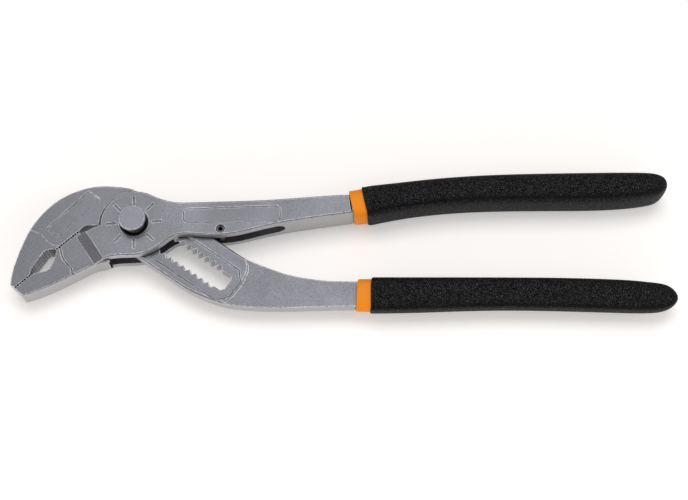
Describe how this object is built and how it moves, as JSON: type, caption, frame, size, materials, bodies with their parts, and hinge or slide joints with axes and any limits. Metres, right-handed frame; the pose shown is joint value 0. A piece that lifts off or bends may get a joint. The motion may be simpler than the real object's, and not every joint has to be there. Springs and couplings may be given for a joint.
{
  "type": "slip joint pliers",
  "caption": "Box joint slip joint pliers with a toothed window, a push button pin, serrated curved jaws and dipped two-layer grips.",
  "frame": {"origin": "on the pivot axis, in the outer plane of the back cheek", "axes": "+X runs from the joint along the handles, +Y points towards the upper handle and +Z runs along the pivot axis towards the push button"},
  "size_m": [0.2407, 0.0531, 0.019],
  "materials": {
    "forged_steel": "satin, fine blasted",
    "pin_steel": "satin turned",
    "spring_steel": "dark oiled",
    "orange_grip": "soft dipped",
    "black_grip": "matte, fine pebbled"
  },
  "bodies": {
    "box_arm": {"box_arm": "forged_steel", "stop_pin": "spring_steel", "upper_liner": "orange_grip", "upper_grip": "black_grip"},
    "carrier": {"guide_bush": "pin_steel", "return_spring": "spring_steel"},
    "inner_arm": {"inner_arm": "forged_steel", "lower_liner": "orange_grip", "lower_grip": "black_grip"},
    "pin": {"joint_pin": "pin_steel", "push_button": "pin_steel"}
  },
  "joints": [
    {"name": "arm_pivot", "type": "hinge", "parent": "box_arm", "child": "carrier", "pos_m": [0, 0, 0.00625], "axis": [0, 0, -1], "range_deg": [0, 30]},
    {"name": "jaw_adjust", "type": "slide", "parent": "carrier", "child": "inner_arm", "axis": [-0.8241, 0.5664, 0], "range_m": [0, 0.0168]},
    {"name": "button_press", "type": "slide", "parent": "carrier", "child": "pin", "axis": [0, 0, -1], "range_m": [0, 0.0036], "stiffness_N_per_m": 900, "springref_m": -0.002, "deforming": ["return_spring"]}
  ]
}
